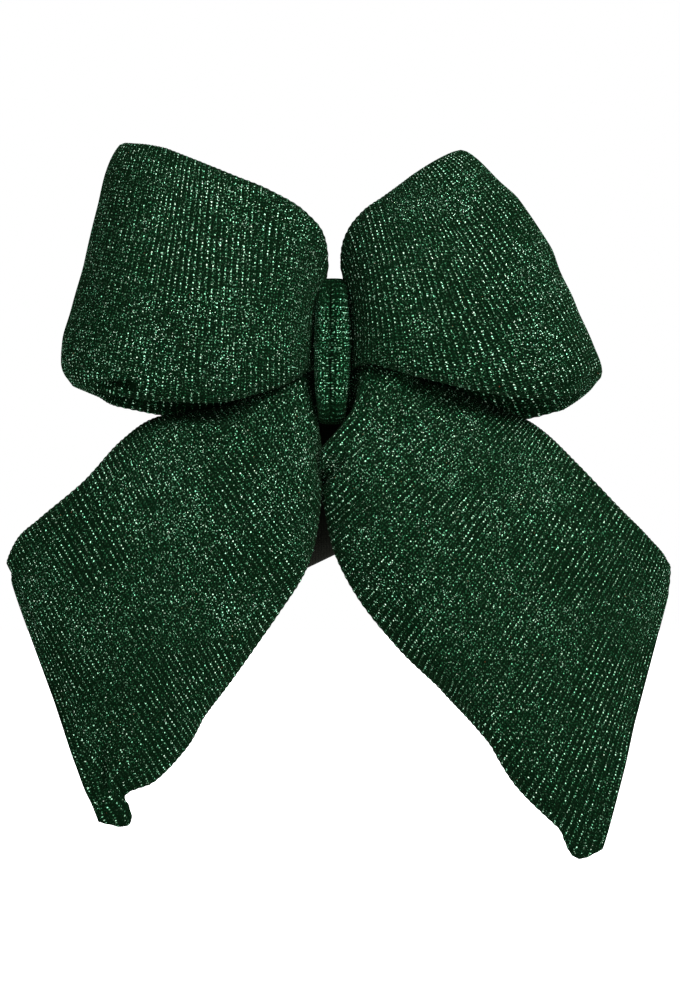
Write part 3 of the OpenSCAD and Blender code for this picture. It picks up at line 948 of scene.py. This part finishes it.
def stitch(name, middle, length, radius, rise, lean):
    """One stitch: a thread that comes out of the cloth, lies over it and goes back in.
    It lies along X before it leans round Y, and its back stands out towards +Y."""
    start_piece()
    steps = 6
    bpy.ops.mesh.primitive_circle_add(
        vertices=8, radius=radius * MM, fill_type="NGON", rotation=(0, math.pi / 2, 0),
        location=(-length / 2 * MM, 0, 0),
    )
    piece = bpy.context.active_object
    piece.name = name
    bpy.ops.object.transform_apply(location=False, rotation=True, scale=False)
    bpy.ops.object.mode_set(mode="EDIT")
    bpy.ops.mesh.select_all(action="SELECT")
    for step in range(steps):
        climb = rise * (math.sin(math.pi * (step + 1) / steps) - math.sin(math.pi * step / steps))
        move = (length / steps * MM, climb * MM, 0)
        bpy.ops.mesh.extrude_region_move(TRANSFORM_OT_translate={"value": move})
        size = 1.12 if step < 2 else 0.9 if step > 3 else 1.0
        bpy.ops.transform.resize(value=(1, size, size))
    bpy.ops.mesh.select_all(action="SELECT")
    bpy.ops.mesh.normals_make_consistent(inside=False)
    bpy.ops.object.mode_set(mode="OBJECT")
    bpy.ops.object.shade_smooth()
    piece.rotation_euler = (0, lean, 0)
    piece.location = tuple(v * MM for v in middle)
    return settle(piece)


def stitch_row(name, places, length, radius, rise, leans):
    """Stitches sewn one after another, as one piece."""
    sewn = [
        stitch(f"{name}_{i}", place, length, radius, rise, lean)
        for i, (place, lean) in enumerate(zip(places, leans))
    ]
    start_piece()
    for one in sewn:
        one.select_set(True)
    bpy.context.view_layer.objects.active = sewn[0]
    bpy.ops.object.join()
    sewn[0].name = name
    return sewn[0]


def wrap_stitches():
    """Whip stitches that close the wrap's seam on its back, above the strap."""
    low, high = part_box("knot_wrap_stitches")
    heights = np.linspace(low.z / MM + 1.0, high.z / MM - 1.0, 5)
    places = [(0, low.y / MM + 0.05, z) for z in heights]
    row = stitch_row("wrap_whip_stitches", places, 4.8, 0.36, 0.55, [math.radians(-15)] * len(places))
    finished(row, green_thread, "sewing_thread", "knot_wrap_stitches")
    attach(row, "knot")


def bar_tacks():
    """Two rows of close zigzag stitches that hold the strap's sewn end."""
    low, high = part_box("strap_bar_tacks")
    across = np.arange(low.x / MM + 0.4, high.x / MM - 0.3, 0.62)
    places, leans = [], []
    for z in (high.z / MM - 0.9, low.z / MM + 0.9):
        places += [(x, low.y / MM + 0.12, z) for x in across]
        leans += [math.radians(90 + (14 if i % 2 else -14)) for i in range(len(across))]
    row = stitch_row("strap_tack_stitches", places, 2.0, 0.26, 0.34, leans)
    finished(row, green_thread, "sewing_thread", "strap_bar_tacks")
    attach(row, "knot")


def strap_layer(name, low, high, tack_heights):
    """One end of the strap laid flat: a slab with soft edges, pulled in under each tack."""
    start_piece()
    middle = [(a + b) / 2 * MM for a, b in zip(low, high)]
    bpy.ops.mesh.primitive_cube_add(size=1, location=middle)
    piece = bpy.context.active_object
    piece.name = name
    piece.scale = [(b - a) * MM for a, b in zip(low, high)]
    settle(piece)
    bpy.ops.object.mode_set(mode="EDIT")
    bpy.ops.mesh.select_all(action="SELECT")
    bpy.ops.mesh.bevel(offset=0.3 * MM, segments=2, affect="EDGES")
    bpy.ops.mesh.select_all(action="SELECT")
    bpy.ops.mesh.subdivide(number_cuts=18)
    bpy.ops.object.mode_set(mode="OBJECT")
    top = high[1] * MM - 0.02 * MM
    for face in piece.data.polygons:
        face.select = False
    for point in piece.data.vertices:
        near = min(abs(point.co.z / MM - z) for z in tack_heights)
        point.select = point.co.y > top and near < 1.5 and abs(point.co.x) < 8.6 * MM
    bpy.ops.object.mode_set(mode="EDIT")
    bpy.ops.mesh.select_mode(type="VERT")
    bpy.ops.transform.translate(value=(0, -0.22 * MM, 0))
    bpy.ops.mesh.select_all(action="SELECT")
    bpy.ops.mesh.vertices_smooth(factor=0.5, repeat=2)
    bpy.ops.object.mode_set(mode="OBJECT")
    bpy.ops.object.shade_smooth()
    return piece


def strap_end():
    """Both ends of the strap, one on the other, on the back of the wrap."""
    low, high = ([v / MM for v in corner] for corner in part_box("strap_sewn_end"))
    tack_low, tack_high = ([v / MM for v in corner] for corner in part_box("strap_bar_tacks"))
    tacks = (tack_low[2] + 0.9, tack_high[2] - 0.9)
    split = (low[1] + high[1]) / 2
    under = strap_layer("strap_end_under", low, [high[0], split - 0.03, high[2]], tacks)
    over = strap_layer(
        "strap_end_over", [low[0], split + 0.03, low[2]], [high[0] - 0.3, high[1], high[2] - 1.2], tacks
    )
    start_piece()
    under.select_set(True)
    over.select_set(True)
    bpy.context.view_layer.objects.active = over
    bpy.ops.object.join()
    over.name = "strap_end_layers"
    finished(over, black_elastic, "black_elastic", "strap_sewn_end")
    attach(over, "knot")


STRAP_WIDTH = 24.0
STRAP_THICK = 0.8
STRAP_TOP = -25.3    # where the free part leaves the sewn end
LEFT_LENGTH, RIGHT_LENGTH = 71.0, 59.5   # of the strap's two edges below the sewn end
STRAP_LEAN = 7.0
# Side view of the strap's loop from the sewn end and back: [depth, share of its length]
STRAP_ROUTE = np.array([
    [1.5, 0], [1.6, 0.09], [3.4, 0.3], [6.6, 0.58], [8.4, 0.82], [7, 0.95], [4.4, 1],
    [1.8, 0.94], [0.6, 0.8], [0.5, 0.45], [0.5, 0],
])


def strap_loop():
    """The free loop of the strap: a flat band with corded edges that hangs down, folds and comes back up."""
    route = stretched(STRAP_ROUTE, 160)
    mean = (LEFT_LENGTH + RIGHT_LENGTH) / 2
    travel = unit(np.gradient(route * [-1, -mean], axis=0))
    out = np.column_stack([travel[:, 1], -travel[:, 0]])
    turn = np.linspace(0, 2 * math.pi, 36, endpoint=False)
    across = np.sign(np.cos(turn)) * np.abs(np.cos(turn)) ** 0.35
    edge_cord = 1 + 0.35 * np.exp(-(((np.abs(across) - 0.93) / 0.05) ** 2))
    thick = np.sign(np.sin(turn)) * np.abs(np.sin(turn)) ** 0.35 * STRAP_THICK / 2 * edge_cord
    share = route[:, 1:2]
    x = -STRAP_LEAN * share + across * STRAP_WIDTH / 2
    fall = LEFT_LENGTH + (RIGHT_LENGTH - LEFT_LENGTH) * (across + 1) / 2
    ripple = 0.12 * np.sin(share * 40) * np.cos(across * 2.2)
    y = -route[:, :1] + out[:, :1] * thick + ripple
    z = STRAP_TOP - fall * share + out[:, 1:] * thick
    points = np.stack([x, y, z], axis=-1)
    corners = with_ends(points)
    strap = mesh_piece("hanging_strap_band", corners, turned_out(corners, closed_faces(*points.shape[:2])))
    finished(strap, black_elastic, "black_elastic", "hanging_strap")
    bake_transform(strap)


wrap_stitches()
bar_tacks()
strap_end()
strap_loop()
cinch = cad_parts["cinch_thread"].data.materials
cinch.clear()
cinch.append(green_thread)


# ---------------------------------------------------------------- floor, light and camera


def stage_floor():
    bpy.ops.mesh.primitive_plane_add(size=8, location=(0, 0, -0.26))
    floor = bpy.context.active_object
    floor.name = "floor"
    finish = Finish("white_floor")
    finish.set({
        "Base Color": (0.9, 0.9, 0.9, 1),
        "Roughness": 0.9,
        "Emission Color": (1, 1, 1, 1),
        "Emission Strength": 1.0,
    })
    floor.data.materials.append(finish.material)


def soft_light(name, place, size, power, aim):
    lamp = bpy.data.lights.new(name, "AREA")
    lamp.shape = "DISK"
    lamp.size = size
    lamp.energy = power
    light = bpy.data.objects.new(name, lamp)
    light.location = place
    light.rotation_euler = (Vector(aim) - Vector(place)).to_track_quat("-Z", "Y").to_euler()
    bpy.context.scene.collection.objects.link(light)


def white_surround(strength):
    world = bpy.data.worlds.new("white_surround")
    world.use_nodes = True
    world.node_tree.nodes["Background"].inputs["Color"].default_value = (1, 1, 1, 1)
    world.node_tree.nodes["Background"].inputs["Strength"].default_value = strength
    bpy.context.scene.world = world


def front_camera():
    lens, sensor = 135.0, 36.0
    seen_height = 424.2 * MM
    camera = bpy.data.objects.new("camera", bpy.data.cameras.new("camera"))
    camera.data.lens, camera.data.sensor_width = lens, sensor
    camera.data.clip_start, camera.data.clip_end = 0.05, 20
    camera.location = (3 * MM, -30 * MM - seen_height * lens / sensor, -63.6 * MM)
    camera.rotation_euler = (math.pi / 2, 0, 0)
    bpy.context.scene.collection.objects.link(camera)
    bpy.context.scene.camera = camera


stage_floor()
white_surround(1.0)
soft_light("key", (0.65, -1.15, 1.0), 0.8, 78, (0, 0, -0.05))
front_camera()
bpy.context.scene.view_settings.view_transform = "Standard"
